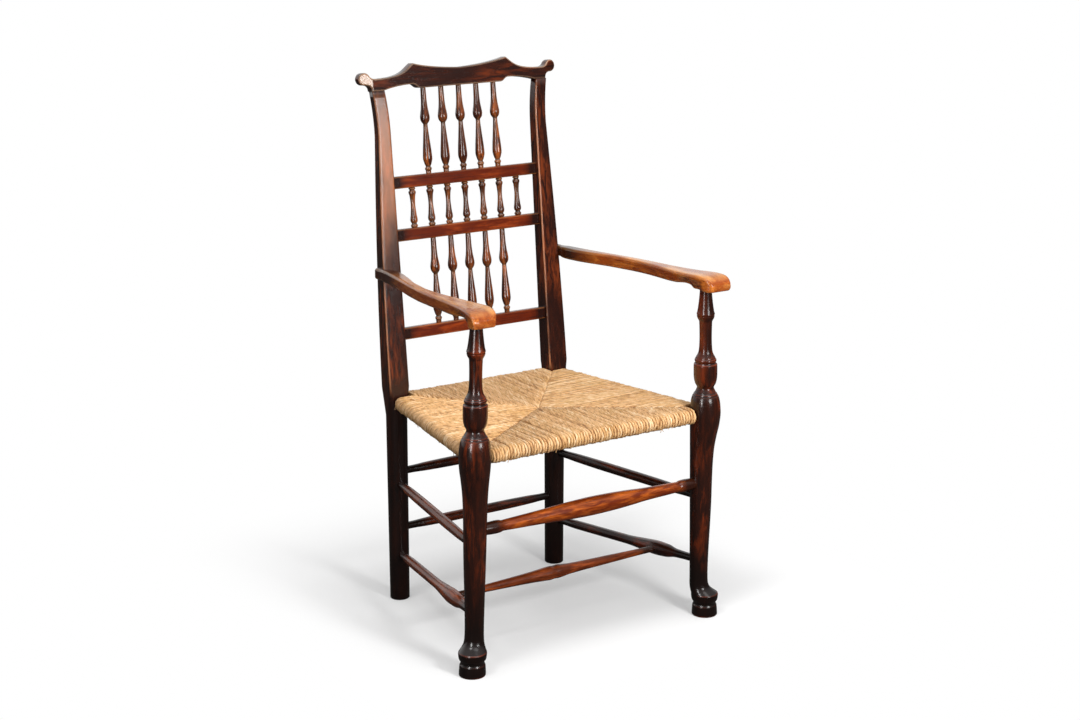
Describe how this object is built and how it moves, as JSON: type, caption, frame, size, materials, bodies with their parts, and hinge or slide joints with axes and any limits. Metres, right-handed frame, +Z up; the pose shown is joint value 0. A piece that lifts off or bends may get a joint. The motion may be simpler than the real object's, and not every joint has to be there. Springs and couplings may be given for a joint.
{
  "type": "spindle back armchair",
  "caption": "Turned wooden armchair: raked spindle back under a serpentine crest with scrolled ears, shaped arms on turned supports, club legs with stretchers, and a woven rush seat.",
  "frame": {"origin": "on the floor, under the middle of the chair's box", "axes": "+Z up, -Y the way the sitter faces, +X the sitter's left"},
  "size_m": [0.5976, 0.5323, 1.0792],
  "materials": {
    "leg_wood": "dark stained, polished",
    "rail_wood": "red-brown stained, polished",
    "spindle_wood": "brown stained, polished",
    "arm_wood": "worn brown, polished",
    "stretcher_wood": "worn red-brown, satin",
    "hidden_wood": "plain",
    "rush": "matt twisted rush"
  },
  "bodies": {
    "root": {"rear_post_left": "leg_wood", "rear_post_right": "leg_wood", "front_leg_left": "leg_wood", "front_leg_right": "leg_wood", "arm_left": "arm_wood", "arm_right": "arm_wood", "crest_rail": "rail_wood", "back_rail_upper": "rail_wood", "back_rail_middle": "rail_wood", "back_rail_lower": "rail_wood", "upper_spindle_1": "spindle_wood", "upper_spindle_2": "spindle_wood", "upper_spindle_3": "spindle_wood", "upper_spindle_4": "spindle_wood", "upper_spindle_5": "spindle_wood", "middle_spindle_1": "spindle_wood", "middle_spindle_2": "spindle_wood", "middle_spindle_3": "spindle_wood", "middle_spindle_4": "spindle_wood", "middle_spindle_5": "spindle_wood", "middle_spindle_6": "spindle_wood", "middle_spindle_7": "spindle_wood", "lower_spindle_1": "spindle_wood", "lower_spindle_2": "spindle_wood", "lower_spindle_3": "spindle_wood", "lower_spindle_4": "spindle_wood", "lower_spindle_5": "spindle_wood", "seat_rail_front": "hidden_wood", "seat_rail_rear": "hidden_wood", "seat_rail_left": "hidden_wood", "seat_rail_right": "hidden_wood", "rush_seat": "rush", "front_stretcher": "stretcher_wood", "medial_stretcher": "stretcher_wood", "side_stretcher_upper_left": "stretcher_wood", "side_stretcher_upper_right": "stretcher_wood", "side_stretcher_lower_left": "stretcher_wood", "side_stretcher_lower_right": "stretcher_wood", "rear_stretcher_upper": "stretcher_wood", "rear_stretcher_lower": "stretcher_wood", "arm_dowel_left": "hidden_wood", "arm_dowel_right": "hidden_wood"}
  },
  "joints": []
}
